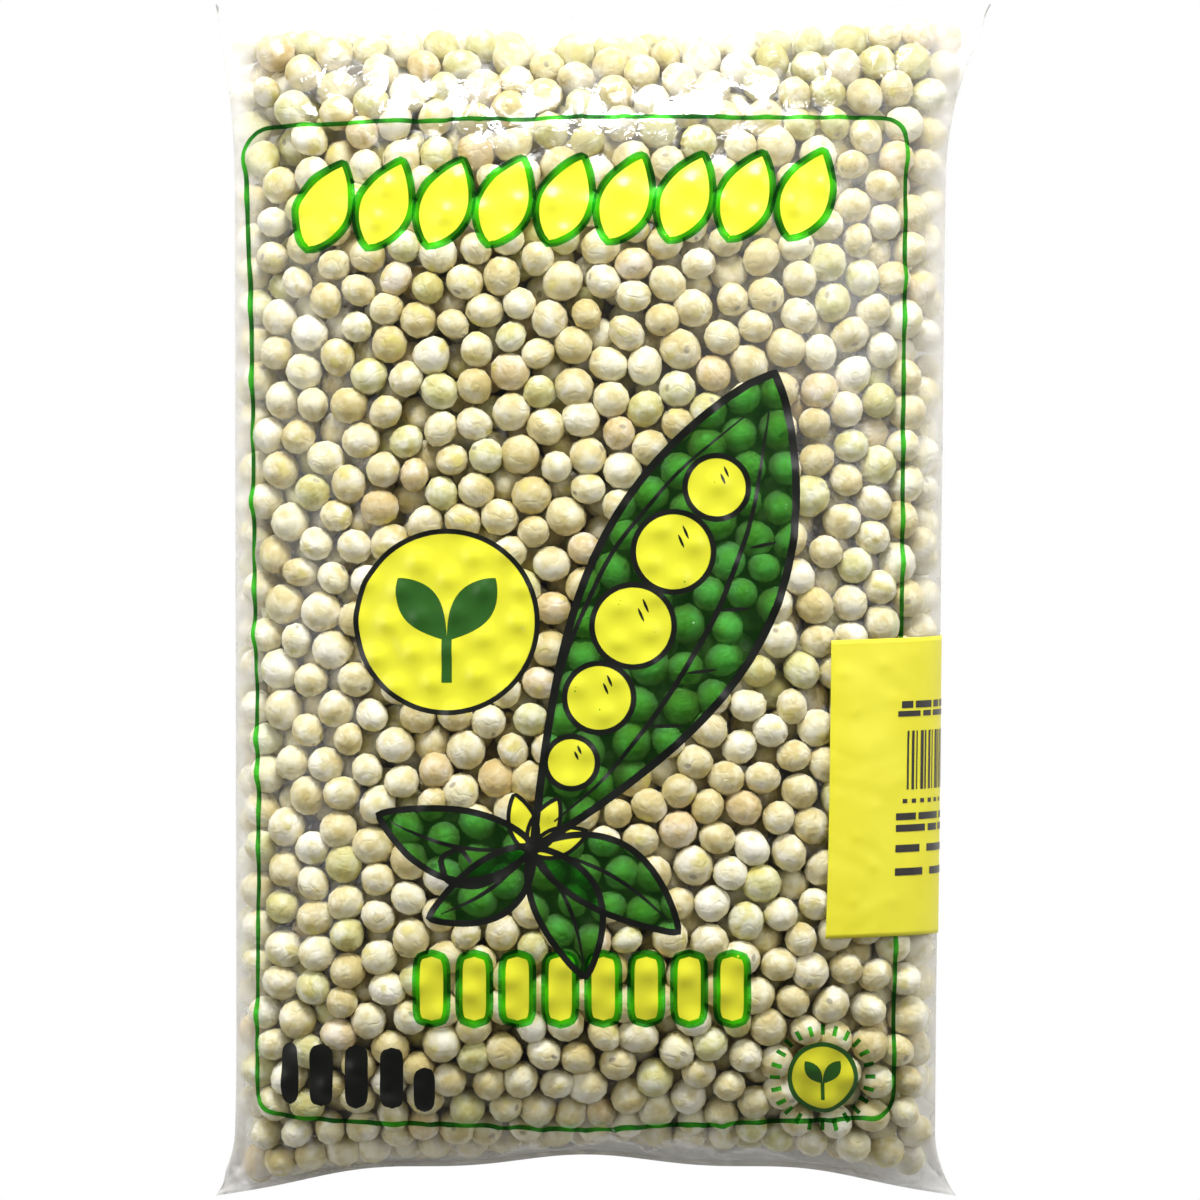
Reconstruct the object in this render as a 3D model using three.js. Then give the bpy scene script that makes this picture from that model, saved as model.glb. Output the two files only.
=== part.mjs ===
// A one-kilogram bag of dried peas, lying on its back with the printed side up.
// It is a pillow of clear film, heat-sealed across both ends. The peas fill it tightly: each one
// presses a low dome into the film, and the film under the bag lies flat on the table.
// A paper label is stuck on the front near the right edge, and goes on round that side.
// Millimetres, +X to the right across the bag, +Y up the bag, +Z out of its printed side, with the
// origin on the table under the middle of the bag's outline.
import * as THREE from "three";

// Driving dimensions
const LENGTH = 258; // over both seals, along a side of the bag
const THICKNESS = 42; // where it is fullest
const BODY_WIDTH_TOP = 154; // filled, at its top end
const BODY_WIDTH_BOTTOM = 150.4; // and at its bottom end
const LEAN = 1.2; // the bottom end lies this much further to the left
const PEA = 7.6; // mean diameter
const SEAL_THICKNESS = 0.8;
const LABEL_HEIGHT = 64; // along the bag
const LABEL_FRONT = 32; // from its left edge round to the bag's widest line
const LABEL_UNDER = 11.5; // and on from there towards the table
const LABEL_THICKNESS = 0.5;

// Each end spreads from the filled width to a flat seal, whose corners stick out as ears.
// The middle of the seal is drawn in from the corners by the sag.
const TOP_END = { sealDepth: 5, leftEar: 4.3, rightEar: 9.6, flareLength: 38, sag: 2.4 };
const BOTTOM_END = { sealDepth: 5, leftEar: 4.8, rightEar: 5, flareLength: 14, sag: 8.2 };

// The filled shape
const SIDE_HEIGHT = 17; // of the widest line above the table, at the middle of the bag
const SEAL_HEIGHT = 9; // of the seals above the table
const TABLE_PRESS = 3; // how far the round underside would hang below the table if it weren't there
const TOP_ROUNDNESS = 2.4; // superellipse power of the upper half of a section
const UNDERSIDE_ROUNDNESS = 3.2; // and of the lower half
const END_ROUNDNESS = 4.6; // power of the profile along the bag
const SIDE_FALL_POWER = 6; // how late the sides come down to the seals
const SAG_POWER = 7; // how near the end the sag starts
const SEAL_RIPPLE = 0.8; // depth of the waves that gather each seal
const SEAL_RIPPLE_LENGTH = 50;

// The table carries the bag on a patch with about these corners, counterclockwise from above.
// Round it the film is pressed flat too, but stays just clear of the table.
const REST_CORNERS = [[-46, -66], [44, -66], [44, 66], [-46, 66]];
const REST_CLEARANCE = 0.6;

// The relief of the peas
const DOME = 1.4; // depth of the film between peas, below their tops
const DOME_VARIATION = 0.5;
const PEA_VARIATION = 0.45; // how far some peas stay below the others
const PEA_SHIFT = 0.17; // random shift of a pea, as a share of the spacing
const BARE_END = 3; // of film next to a seal, which no pea reaches
const CREASE = 0.7; // depth of the creases there instead

// The label
const LABEL_TOP = -8.6; // its upper left corner, from the middle of the bag
const LABEL_SLOPE = 0.03; // it isn't stuck on quite level
const LABEL_GAP = 0.35; // between the film and the label
const LABEL_COLUMNS = 15;
const LABEL_ROWS = 20;

const FILM = 0xe4e0c8;
const LABEL_YELLOW = 0xeee63c;

const halfLength = LENGTH / 2;
const degreeStep = 1 / 360;

function randomFrom(seed) {
  let state = seed;
  return () => {
    state = (Math.imul(state, 1664525) + 1013904223) >>> 0;
    return state / 2 ** 32;
  };
}

function signedPower(value, power) {
  return Math.sign(value) * Math.abs(value) ** power;
}

function endNear(y) {
  return y > 0 ? TOP_END : BOTTOM_END;
}

// 0 at the middle of the bag and 1 where the film closes into the seal.
function towardsSeal(y) {
  return Math.min(1, Math.abs(y) / (halfLength - endNear(y).sealDepth));
}

// From the middle of the bag to its left or right edge, as it lies.
function halfWidth(y, onRight) {
  const body = THREE.MathUtils.lerp(BODY_WIDTH_BOTTOM, BODY_WIDTH_TOP, (y + halfLength) / LENGTH) / 2;
  const end = endNear(y);
  const flare = Math.max(0, 1 - (halfLength - Math.abs(y)) / end.flareLength) ** 2;
  return body + flare * (onRight ? end.rightEar : end.leftEar);
}

// A point of the bag's smooth outer form, at a turn of 0 to 1 round it: from its widest line on the
// right over the front to the left, and back underneath. Depth below the table is kept.
function smoothPoint(turn, y) {
  const angle = turn * 2 * Math.PI;
  const onFront = Math.sin(angle) >= 0;
  const power = 2 / (onFront ? TOP_ROUNDNESS : UNDERSIDE_ROUNDNESS);
  const across = signedPower(Math.cos(angle), power);
  const up = signedPower(Math.sin(angle), power);
  const fullness = Math.sqrt(1 - towardsSeal(y) ** END_ROUNDNESS);
  const side = THREE.MathUtils.lerp(SIDE_HEIGHT, SEAL_HEIGHT, towardsSeal(y) ** SIDE_FALL_POWER);
  const depth = onFront ? THICKNESS - SIDE_HEIGHT : SIDE_HEIGHT + TABLE_PRESS;

  const x = halfWidth(y, across > 0) * across;
  const endShare = signedPower(y / halfLength, SAG_POWER);
  const ripple = SEAL_RIPPLE * Math.cos((2 * Math.PI * x) / SEAL_RIPPLE_LENGTH);
  const drawnIn = endNear(y).sag * (1 - across * across) + ripple * (1 - across ** 4);
  return new THREE.Vector3(
    x - LEAN * (0.5 - y / LENGTH),
    y - drawnIn * endShare,
    side + ripple * Math.abs(endShare) + up * (depth * fullness + SEAL_THICKNESS / 2),
  );
}

function outwards(turn, y) {
  const round = smoothPoint(turn + degreeStep, y).sub(smoothPoint(turn - degreeStep, y));
  const along = smoothPoint(turn, y + 1).sub(smoothPoint(turn, y - 1));
  return along.cross(round).normalize();
}

// Lengths along the section's outline at y, over its front or its back half, in small steps.
function outlineLengths(y, onFront) {
  const steps = 160;
  const start = onFront ? 0 : 0.5;
  const lengths = [0];
  let before = smoothPoint(start, y);
  for (let i = 1; i <= steps; i++) {
    const next = smoothPoint(start + (0.5 * i) / steps, y);
    lengths.push(lengths[i - 1] + next.distanceTo(before));
    before = next;
  }
  return lengths;
}

// The turn at a share of the way round, which counts the front's and the back's outline evenly.
function turnAt(share, y) {
  const wrapped = share - Math.floor(share);
  const onFront = wrapped < 0.5;
  const lengths = outlineLengths(y, onFront);
  const steps = lengths.length - 1;
  const start = onFront ? 0 : 0.5;
  const wanted = ((wrapped - start) / 0.5) * lengths[steps];
  let i = 1;
  while (i < steps && lengths[i] < wanted) i++;
  const within = (wanted - lengths[i - 1]) / (lengths[i] - lengths[i - 1]);
  return start + (0.5 * (i - 1 + within)) / steps;
}

// A point at a share of the way round the bag, at a height over the smooth form.
function pointOver(share, y, height) {
  const turn = turnAt(share, y);
  return smoothPoint(turn, y).addScaledVector(outwards(turn, y), height);
}

// Presses flat what hangs below the table. The corners of the patch are points of the film.
function restOnTable(points) {
  const under = points.filter((point) => point.z <= 0);
  const corners = REST_CORNERS.map(([x, y]) => {
    const distance = (point) => Math.hypot(point.x - x, point.y - y);
    return under.reduce((best, point) => (distance(point) < distance(best) ? point : best));
  });
  const isOnPatch = (point) =>
    corners.every((corner, i) => {
      const next = corners[(i + 1) % corners.length];
      const [alongX, alongY] = [next.x - corner.x, next.y - corner.y];
      return alongX * (point.y - corner.y) - alongY * (point.x - corner.x) >= 0;
    });
  for (const point of points) point.z = Math.max(point.z, isOnPatch(point) ? 0 : REST_CLEARANCE);
}

function solidMesh(name, points, faces, material) {
  const positions = points.flatMap((point) => point.toArray());
  const geometry = new THREE.BufferGeometry();
  geometry.setAttribute("position", new THREE.Float32BufferAttribute(positions, 3));
  geometry.setIndex(faces.flat());
  geometry.computeVertexNormals();
  const mesh = new THREE.Mesh(geometry, material);
  mesh.name = name;
  return mesh;
}

// Two triangles on four corners, given counterclockwise as seen from outside, or one where two meet.
function addQuad(faces, a, b, c, d) {
  if (a !== b && b !== c) faces.push([a, b, c]);
  if (c !== d && d !== a) faces.push([a, c, d]);
}

// The peas under the film lie as close as round things can: in rows along the bag, with every other
// row half a pea further round. Their number round the bag is even, and so is the last row's.
const firstRow = BARE_END + BOTTOM_END.sealDepth - halfLength;
const lastRow = halfLength - TOP_END.sealDepth - BARE_END;
const girth = outlineLengths(0, true).at(-1) + outlineLengths(0, false).at(-1);
const columns = 2 * Math.round(girth / PEA / 2);
const rowCount = 2 * Math.round((lastRow - firstRow) / (PEA * Math.sin(Math.PI / 3)) / 2) + 1;

function peaRows(points, random) {
  const rows = [];
  for (let row = 0; row < rowCount; row++) {
    const atEnd = row === 0 || row === rowCount - 1;
    const shift = () => (atEnd ? 0 : PEA_SHIFT * (2 * random() - 1));
    const peas = [];
    for (let column = 0; column < columns; column++) {
      const share = (column + (row % 2) / 2 + shift()) / columns;
      const y = THREE.MathUtils.lerp(firstRow, lastRow, (row + shift()) / (rowCount - 1));
      const height = -(atEnd ? CREASE : PEA_VARIATION) * random();
      peas.push({ share, y, index: points.length });
      points.push(pointOver(share, y, height));
    }
    rows.push(peas);
  }
  return rows;
}

// The film dips between each three peas that touch. Faces run from each pea to the dips round it,
// so every pea becomes a low dome of six faces.
function addDomes(points, faces, rows, random) {
  const dips = new Map();
  const addDip = (peas) => {
    const [a, b, c] = peas;
    const nearA = (pea) => pea.share + Math.round(a.share - pea.share);
    const share = (nearA(a) + nearA(b) + nearA(c)) / 3;
    const depth = DOME + DOME_VARIATION * (2 * random() - 1);
    for (const [from, to] of [[a, b], [b, c], [c, a]]) dips.set(`${from.index} ${to.index}`, points.length);
    points.push(pointOver(share, (a.y + b.y + c.y) / 3, -depth));
  };
  for (let row = 0; row + 1 < rowCount; row++) {
    for (let column = 0; column < columns; column++) {
      const next = (column + 1) % columns;
      const [lower, upper] = [rows[row], rows[row + 1]];
      if (row % 2) {
        addDip([lower[column], upper[next], upper[column]]);
        addDip([lower[column], lower[next], upper[next]]);
      } else {
        addDip([lower[column], lower[next], upper[column]]);
        addDip([lower[next], upper[next], upper[column]]);
      }
    }
  }
  for (const [edge, dip] of dips) {
    const [from, to] = edge.split(" ").map(Number);
    const otherDip = dips.get(`${to} ${from}`);
    if (otherDip === undefined) faces.push([dip, to, from]);
    else if (from < to) addQuad(faces, dip, to, otherDip, from);
  }
}

// A seal: the film closes to a flat strip, and the strip's two faces meet along its outer edge.
function addSeal(points, faces, peas, side) {
  const end = side > 0 ? TOP_END : BOTTOM_END;
  let inner = peas.map((pea) => pea.index);
  for (const fromEdge of [end.sealDepth, 0]) {
    const outer = [];
    for (let column = 0; column < columns; column++) {
      outer.push(points.length);
      points.push(pointOver(column / columns, side * (halfLength - fromEdge), 0));
    }
    for (let column = 0; column < columns; column++) {
      const next = (column + 1) % columns;
      const quad = [inner[column], inner[next], outer[next], outer[column]];
      addQuad(faces, ...(side > 0 ? quad.reverse() : quad));
    }
    inner = outer;
  }
  for (let column = 0; column < columns / 2; column++) {
    const under = (columns - column) % columns;
    const quad = [inner[column], inner[column + 1], inner[columns - column - 1], inner[under]];
    addQuad(faces, ...(side > 0 ? quad.reverse() : quad));
  }
}

function bag() {
  const points = [];
  const faces = [];
  const random = randomFrom(7);
  const rows = peaRows(points, random);
  addDomes(points, faces, rows, random);
  addSeal(points, faces, rows[0], -1);
  addSeal(points, faces, rows[rowCount - 1], 1);
  restOnTable(points);
  const film = new THREE.MeshStandardMaterial({ color: FILM, roughness: 0.25, metalness: 0 });
  return solidMesh("bag", points, faces, film);
}

// A sheet of paper that follows the smooth form of the bag, just clear of the film.
function label() {
  const points = [];
  const faces = [];
  const layer = (height) => {
    const start = points.length;
    for (let row = 0; row <= LABEL_ROWS; row++) {
      for (let column = 0; column <= LABEL_COLUMNS; column++) {
        const fromLeft = ((LABEL_FRONT + LABEL_UNDER) * column) / LABEL_COLUMNS;
        const y = LABEL_TOP + LABEL_SLOPE * fromLeft - (LABEL_HEIGHT * row) / LABEL_ROWS;
        const toEdge = LABEL_FRONT - fromLeft;
        const halfOutline = outlineLengths(y, toEdge > 0).at(-1);
        points.push(pointOver((0.5 * toEdge) / halfOutline, y, height));
      }
    }
    return (row, column) => start + row * (LABEL_COLUMNS + 1) + column;
  };
  const inner = layer(LABEL_GAP);
  const outer = layer(LABEL_GAP + LABEL_THICKNESS);
  for (let row = 0; row < LABEL_ROWS; row++) {
    for (let column = 0; column < LABEL_COLUMNS; column++) {
      const corners = [[row, column], [row + 1, column], [row + 1, column + 1], [row, column + 1]];
      addQuad(faces, ...corners.map((corner) => outer(...corner)));
      addQuad(faces, ...corners.reverse().map((corner) => inner(...corner)));
    }
  }
  const addRim = (from, to) => addQuad(faces, outer(...to), outer(...from), inner(...from), inner(...to));
  for (let column = 0; column < LABEL_COLUMNS; column++) {
    addRim([0, column + 1], [0, column]);
    addRim([LABEL_ROWS, column], [LABEL_ROWS, column + 1]);
  }
  for (let row = 0; row < LABEL_ROWS; row++) {
    addRim([row, 0], [row + 1, 0]);
    addRim([row + 1, LABEL_COLUMNS], [row, LABEL_COLUMNS]);
  }
  const paper = new THREE.MeshStandardMaterial({ color: LABEL_YELLOW, roughness: 0.6, metalness: 0 });
  return solidMesh("label", points, faces, paper);
}

// The ears of the top seal differ, so this centres the whole outline on the origin.
const pack = new THREE.Group();
pack.add(bag(), label());
pack.position.x = (TOP_END.leftEar - TOP_END.rightEar) / 2;
export default pack;
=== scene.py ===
import math

import bpy
import numpy as np
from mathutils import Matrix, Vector
from mathutils.kdtree import KDTree


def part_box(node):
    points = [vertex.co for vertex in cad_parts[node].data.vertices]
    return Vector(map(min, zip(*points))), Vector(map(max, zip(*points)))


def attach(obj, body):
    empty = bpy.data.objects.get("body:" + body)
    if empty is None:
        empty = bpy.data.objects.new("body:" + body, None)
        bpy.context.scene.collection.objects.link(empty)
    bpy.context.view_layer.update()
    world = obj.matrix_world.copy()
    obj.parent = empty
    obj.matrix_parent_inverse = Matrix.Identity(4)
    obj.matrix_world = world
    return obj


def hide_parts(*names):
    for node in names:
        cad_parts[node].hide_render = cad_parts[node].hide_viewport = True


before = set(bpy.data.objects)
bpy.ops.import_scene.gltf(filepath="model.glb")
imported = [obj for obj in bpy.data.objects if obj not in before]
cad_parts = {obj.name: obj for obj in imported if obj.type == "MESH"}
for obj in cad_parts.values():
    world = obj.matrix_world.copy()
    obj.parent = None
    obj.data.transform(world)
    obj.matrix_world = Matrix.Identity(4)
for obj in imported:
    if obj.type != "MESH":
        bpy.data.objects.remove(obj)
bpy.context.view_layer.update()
bpy.ops.object.select_all(action="DESELECT")


# ---- The camera and the light ----
# The photograph was taken from straight above with a long lens, and the bag fills the square picture.
# The light is soft and comes mostly from beyond the bag's top end, over a bright white table. The room
# is bright low down all round, darker overhead and darkest on the near side, below the bag.
CAMERA_HEIGHT = 2.4
SENSOR_WIDTH = 36
PICTURE_WIDTH = 0.2586
PICTURE_LEVEL = 0.02
PICTURE_CENTRE_X = -0.0007
LIGHTS = {
    "key_light": {"place": (-0.03, 0.88, 0.6), "size": (0.5, 0.26), "watts": 13.6},
    "left_light": {"place": (-0.95, 0.1, 0.75), "size": (0.8, 0.8), "watts": 4},
    "right_light": {"place": (0.85, 0.35, 0.8), "size": (0.7, 0.7), "watts": 5},
}
# How bright the sky is at both ends of a stretch of each axis. The two strengths are multiplied.
SKY = {
    "Z": {"stretch": (0, 0.85), "strength": (0.82, 0.06)},
    "Y": {"stretch": (-0.8, 0.2), "strength": (0.36, 1)},
}
SKY_COLOUR = (1, 0.99, 0.98, 1)
TABLE_WIDTH = 6
scene = bpy.context.scene
scene.view_settings.view_transform = "Standard"

bpy.ops.object.camera_add(location=(PICTURE_CENTRE_X, 0, CAMERA_HEIGHT), rotation=(0, 0, 0))
camera = bpy.context.object
camera.data.sensor_width = SENSOR_WIDTH
camera.data.lens = SENSOR_WIDTH * (CAMERA_HEIGHT - PICTURE_LEVEL) / PICTURE_WIDTH
camera.data.clip_start = 0.05
camera.data.clip_end = 20
scene.camera = camera

for name, light in LIGHTS.items():
    towards_bag = -Vector(light["place"])
    bpy.ops.object.light_add(
        type="AREA",
        location=light["place"],
        rotation=towards_bag.to_track_quat("-Z", "Y").to_euler(),
    )
    lamp = bpy.context.object
    lamp.name = name
    lamp.data.shape = "RECTANGLE"
    lamp.data.size, lamp.data.size_y = light["size"]
    lamp.data.energy = light["watts"]


def set_inputs(node, values):
    for socket, value in values.items():
        node.inputs[socket].default_value = value


def node_adder(tree):
    """A function that adds a node to a node tree, with the values of its inputs and its settings."""

    def add(kind, inputs=None, **settings):
        node = tree.nodes.new(kind)
        for key, value in settings.items():
            setattr(node, key, value)
        set_inputs(node, inputs or {})
        return node

    return add


def range_inputs(*numbers):
    """The inputs of a Map Range node: the range it is given and the range it puts out."""
    return dict(zip(("From Min", "From Max", "To Min", "To Max"), numbers))


world = bpy.data.worlds.new("studio")
scene.world = world
world.use_nodes = True
add, link = node_adder(world.node_tree), world.node_tree.links.new
sky = world.node_tree.nodes["Background"]
sky.inputs["Color"].default_value = SKY_COLOUR
way = add("ShaderNodeTexCoord")
axes = add("ShaderNodeSeparateXYZ")
link(way.outputs["Generated"], axes.inputs[0])
strength = add("ShaderNodeMath", operation="MULTIPLY")
for factor, (axis, bright) in zip(strength.inputs, SKY.items()):
    ranged = add("ShaderNodeMapRange", range_inputs(*bright["stretch"], *bright["strength"]))
    link(axes.outputs[axis], ranged.inputs["Value"])
    link(ranged.outputs[0], factor)
link(strength.outputs[0], sky.inputs["Strength"])

bpy.ops.mesh.primitive_plane_add(size=TABLE_WIDTH)
floor = bpy.context.object
floor.name = "floor"


def new_material(name, values):
    """A material, its Principled BSDF, and two functions that add a node and a link."""
    material = bpy.data.materials.new(name)
    material.use_nodes = True
    tree = material.node_tree
    set_inputs(tree.nodes["Principled BSDF"], values)
    return material, tree.nodes["Principled BSDF"], node_adder(tree), tree.links.new


def mixed(add, link, share, under, over):
    """Two shaders in one. Their share is a number or comes from another node."""
    mix = add("ShaderNodeMixShader")
    if isinstance(share, float):
        mix.inputs[0].default_value = share
    else:
        link(share, mix.inputs[0])
    link(under.outputs[0], mix.inputs[1])
    link(over.outputs[0], mix.inputs[2])
    return mix


def surface(material):
    return material.node_tree.nodes["Material Output"].inputs["Surface"]


# The camera sees the bare table as pure white. Everything else, and the camera through the film,
# sees a white table that the lights light.
floor_white, floor_shader, add, link = new_material(
    "floor_white", {"Base Color": (0.9, 0.9, 0.9, 1), "Roughness": 0.8}
)
glow = add("ShaderNodeEmission", {"Color": (1, 1, 1, 1)})
seen = add("ShaderNodeLightPath")
bare = add("ShaderNodeMath", {1: 0.5}, operation="LESS_THAN")
share = add("ShaderNodeMath", operation="MULTIPLY")
link(seen.outputs["Transparent Depth"], bare.inputs[0])
link(seen.outputs["Is Camera Ray"], share.inputs[0])
link(bare.outputs[0], share.inputs[1])
link(mixed(add, link, share.outputs[0], floor_shader, glow).outputs[0], surface(floor_white))
floor.data.materials.append(floor_white)


# ---- The filled bag ----
# The bag is one tube of thin clear film, closed by a flat heat seal across each end. One kilogram of
# peas swells it to a pillow, and its weight presses the film underneath flat on the table. These
# functions give the smooth form that the film has before each pea presses its own dome into it.
MM = 0.001
bag_low, bag_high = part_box("bag")
LENGTH = bag_high.y - bag_low.y
HALF_LENGTH = LENGTH / 2
THICKNESS = 42 * MM
BODY_WIDTH_TOP = 154 * MM
BODY_WIDTH_BOTTOM = 150.4 * MM
LEAN = 1.2 * MM
SEAL_THICKNESS = 0.3 * MM
SEAL_DEPTH = 2.4 * MM
TOP_END = {"left_ear": 4.3 * MM, "right_ear": 9.6 * MM, "flare": 38 * MM, "sag": 2.4 * MM}
BOTTOM_END = {"left_ear": 4.8 * MM, "right_ear": 5 * MM, "flare": 14 * MM, "sag": 8.2 * MM}
CENTRE_X = (TOP_END["left_ear"] - TOP_END["right_ear"]) / 2
SIDE_HEIGHT = 17 * MM
SEAL_HEIGHT = 9 * MM
TABLE_PRESS = 3 * MM
TOP_ROUNDNESS = 2.4
UNDERSIDE_ROUNDNESS = 3.2
END_ROUNDNESS = 4.6
SIDE_FALL_POWER = 6
SAG_POWER = 7
SEAL_RIPPLE = 0.8 * MM
SEAL_RIPPLE_LENGTH = 50 * MM


def signed_power(value, power):
    return np.sign(value) * np.abs(value) ** power


def end_value(y, name):
    """A measure of the end that is nearer to y."""
    return np.where(y > 0, TOP_END[name], BOTTOM_END[name])


def towards_seal(y):
    """0 half way along the bag and 1 at its seals."""
    return np.minimum(1, np.abs(y) / (HALF_LENGTH - SEAL_DEPTH))


def middle_x(y):
    """The line half way across the bag, which runs a little to the left towards the bottom."""
    return CENTRE_X - LEAN * (0.5 - y / LENGTH)


def half_width(y, on_right):
    """From the middle line to a side, with the ears' flare near the ends."""
    body = (BODY_WIDTH_BOTTOM + (BODY_WIDTH_TOP - BODY_WIDTH_BOTTOM) * (y / LENGTH + 0.5)) / 2
    flare = np.maximum(0, 1 - (HALF_LENGTH - np.abs(y)) / end_value(y, "flare")) ** 2
    return body + flare * np.where(on_right, end_value(y, "right_ear"), end_value(y, "left_ear"))


def end_share(y):
    """-1 at the bottom end, 1 at the top end and nearly 0 between."""
    return signed_power(y / HALF_LENGTH, SAG_POWER)


def ripple(x):
    """The shallow waves across a seal."""
    return SEAL_RIPPLE * np.cos(2 * math.pi * x / SEAL_RIPPLE_LENGTH)


def drawn_in(y, x, across):
    """How far an end is drawn in: most in the middle, and not at its ears."""
    return end_value(y, "sag") * (1 - across**2) + ripple(x) * (1 - across**4)


def fullness(y):
    """How thick the bag is, from 1 half way along to 0 at the seals."""
    return np.sqrt(1 - towards_seal(y) ** END_ROUNDNESS)


def side_height(y):
    """How high the widest line of the side lies."""
    return SIDE_HEIGHT + (SEAL_HEIGHT - SIDE_HEIGHT) * towards_seal(y) ** SIDE_FALL_POWER


def smooth_point(turn, y):
    """The point at a turn round the bag, 0 at the right side and 0.25 on top, and a place along it."""
    angle = 2 * math.pi * turn
    on_front = np.sin(angle) >= 0
    power = 2 / np.where(on_front, TOP_ROUNDNESS, UNDERSIDE_ROUNDNESS)
    across = signed_power(np.cos(angle), power)
    up = signed_power(np.sin(angle), power)
    depth = np.where(on_front, THICKNESS - SIDE_HEIGHT, SIDE_HEIGHT + TABLE_PRESS)
    x = half_width(y, across > 0) * across
    z = side_height(y) + ripple(x) * np.abs(end_share(y))
    z = z + up * (depth * fullness(y) + SEAL_THICKNESS / 2)
    return np.stack([x + middle_x(y), y - drawn_in(y, x, across) * end_share(y), z], axis=-1)


# ---- The peas ----
# Dried whole peas, hard and nearly round, cream to pale green, each shrunk a little in its own way as
# it dried. They were poured in loose and lie as they fell: as close as they fit, in no order.
# PEA is the long way through one. Two that touch are nearer, since each is narrower another way.
PEA = 8.5 * MM
PEA_TOUCH = 0.955
PEA_SPREAD = 0.055
FILL = 0.68
FILM_CLEARANCE = 0.1 * MM
TABLE_GAP = 0.12 * MM
WALL_DRAW = 0.12
WALL_REACH = 0.5 * PEA
LONGEST_PUSH = 2 * MM
SLOPE_STEP = 0.1 * MM
LEAST_FROM_END = 4 * PEA / 5
# How far from each end the peas stop, at places across the bag, in millimetres.
TOP_EMPTY = [(-78, 4.4), (-66, 5), (-30, 4.6), (30, 4.6), (50, 2.8), (62, 2.2), (74, 3)]
BOTTOM_EMPTY = [(-76, 2.2), (-66, 2.6), (-40, 3.6), (0, 5.4), (40, 6), (60, 4), (72, 2.2)]
TRIES = 400000
WELL_INSIDE = 0.9
SIZE_LIMITS = 0.87, 1.14
START_SIZE = 0.6
GROWING_STEPS = 130
SETTLING_STEPS = 120
STEPS_BETWEEN_SEARCHES = 6
NEAR = 1.3 * PEA
PUSH_APART = 0.42
random = np.random.default_rng(11)


def on_form(points):
    """Where points lie along and across the bag, and how high over its widest line."""
    x, y, z = points.T
    along = y
    for _ in range(3):
        from_middle = x - middle_x(along)
        across = from_middle / half_width(along, from_middle > 0)
        inside = np.clip(across, -1, 1)
        along = y + drawn_in(along, from_middle, inside) * end_share(along)
        along = np.clip(along, -HALF_LENGTH, HALF_LENGTH)
    return along, across, z - side_height(along) - ripple(from_middle) * np.abs(end_share(along))


def wall_share(points):
    """1 on the smooth form of the film, less inside it and more outside."""
    along, across, over = on_form(points)
    along = np.clip(along, LEAST_FROM_END - HALF_LENGTH, HALF_LENGTH - LEAST_FROM_END)
    depth = np.where(over > 0, THICKNESS - SIDE_HEIGHT, SIDE_HEIGHT + TABLE_PRESS)
    depth = depth * fullness(along) + SEAL_THICKNESS / 2
    power = np.where(over > 0, TOP_ROUNDNESS, UNDERSIDE_ROUNDNESS)
    return (np.abs(across) ** power + np.abs(over / depth) ** power) ** (1 / power)


def wall_push(points, radii):
    """How far each pea has to move to lie inside the film."""
    share = wall_share(points)
    slopes = [(wall_share(points + SLOPE_STEP * axis) - share) / SLOPE_STEP for axis in np.eye(3)]
    slope = np.stack(slopes, axis=-1)
    steepness = np.linalg.norm(slope, axis=1) + 1e-9
    room = (1 - share) / steepness - radii - FILM_CLEARANCE
    move = np.where(room < 0, room, np.where(room < WALL_REACH, WALL_DRAW * room, 0))
    push = move[:, None] * slope / steepness[:, None]
    lowest = points[:, 2] - radii - FILM_CLEARANCE
    push[:, 2] -= np.minimum(lowest, 0)
    along = on_form(points)[0]
    empty = [np.interp(points[:, 0], *np.array(ends).T * MM) for ends in (TOP_EMPTY, BOTTOM_EMPTY)]
    from_end = HALF_LENGTH - np.where(along > 0, *empty) - np.abs(along) - radii
    push[:, 1] += np.minimum(from_end, 0) * np.sign(along)
    return np.clip(push, -LONGEST_PUSH, LONGEST_PUSH)


def tree_of(points):
    tree = KDTree(len(points))
    for index, point in enumerate(points):
        tree.insert(point, index)
    tree.balance()
    return tree


def near_pairs(points, reach):
    """The first and the second of each two points that are within reach of each other."""
    tree = tree_of(points)
    pairs = [
        (index, other)
        for index, point in enumerate(points)
        for _, other, _ in tree.find_range(point, reach)
        if other > index
    ]
    return np.array(pairs).T


def pour_peas():
    """Where the peas lie: they grow at random places in the film and push each other apart."""
    size = np.array([BODY_WIDTH_TOP, LENGTH, THICKNESS])
    tries = (random.random((TRIES, 3)) - 0.5) * size + [CENTRE_X, 0, THICKNESS / 2]
    tries = tries[wall_share(tries) < 1]
    volume = size.prod() * len(tries) / TRIES
    wanted = int(FILL * volume / (math.pi / 6 * (PEA_TOUCH * PEA) ** 3))
    points = tries[wall_share(tries) < WELL_INSIDE][:wanted]
    count = len(points)
    radii = PEA / 2 * np.clip(random.normal(1, PEA_SPREAD, count), *SIZE_LIMITS)
    for step in range(GROWING_STEPS + SETTLING_STEPS):
        grown = radii * min(1, START_SIZE + (1 - START_SIZE) * step / GROWING_STEPS)
        if step % STEPS_BETWEEN_SEARCHES == 0:
            first, second = near_pairs(points, NEAR)
        gap = points[second] - points[first]
        distance = np.linalg.norm(gap, axis=1) + 1e-9
        overlap = np.maximum(0, PEA_TOUCH * (grown[first] + grown[second]) - distance)
        push = PUSH_APART * gap * (overlap / distance)[:, None]
        moves = [np.bincount(second, part, count) - np.bincount(first, part, count) for part in push.T]
        points = points + np.stack(moves, axis=-1)
        points = points + wall_push(points, grown)
    points[:, 2] = np.maximum(points[:, 2], radii + TABLE_GAP + FILM_CLEARANCE)
    return points, radii


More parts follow.
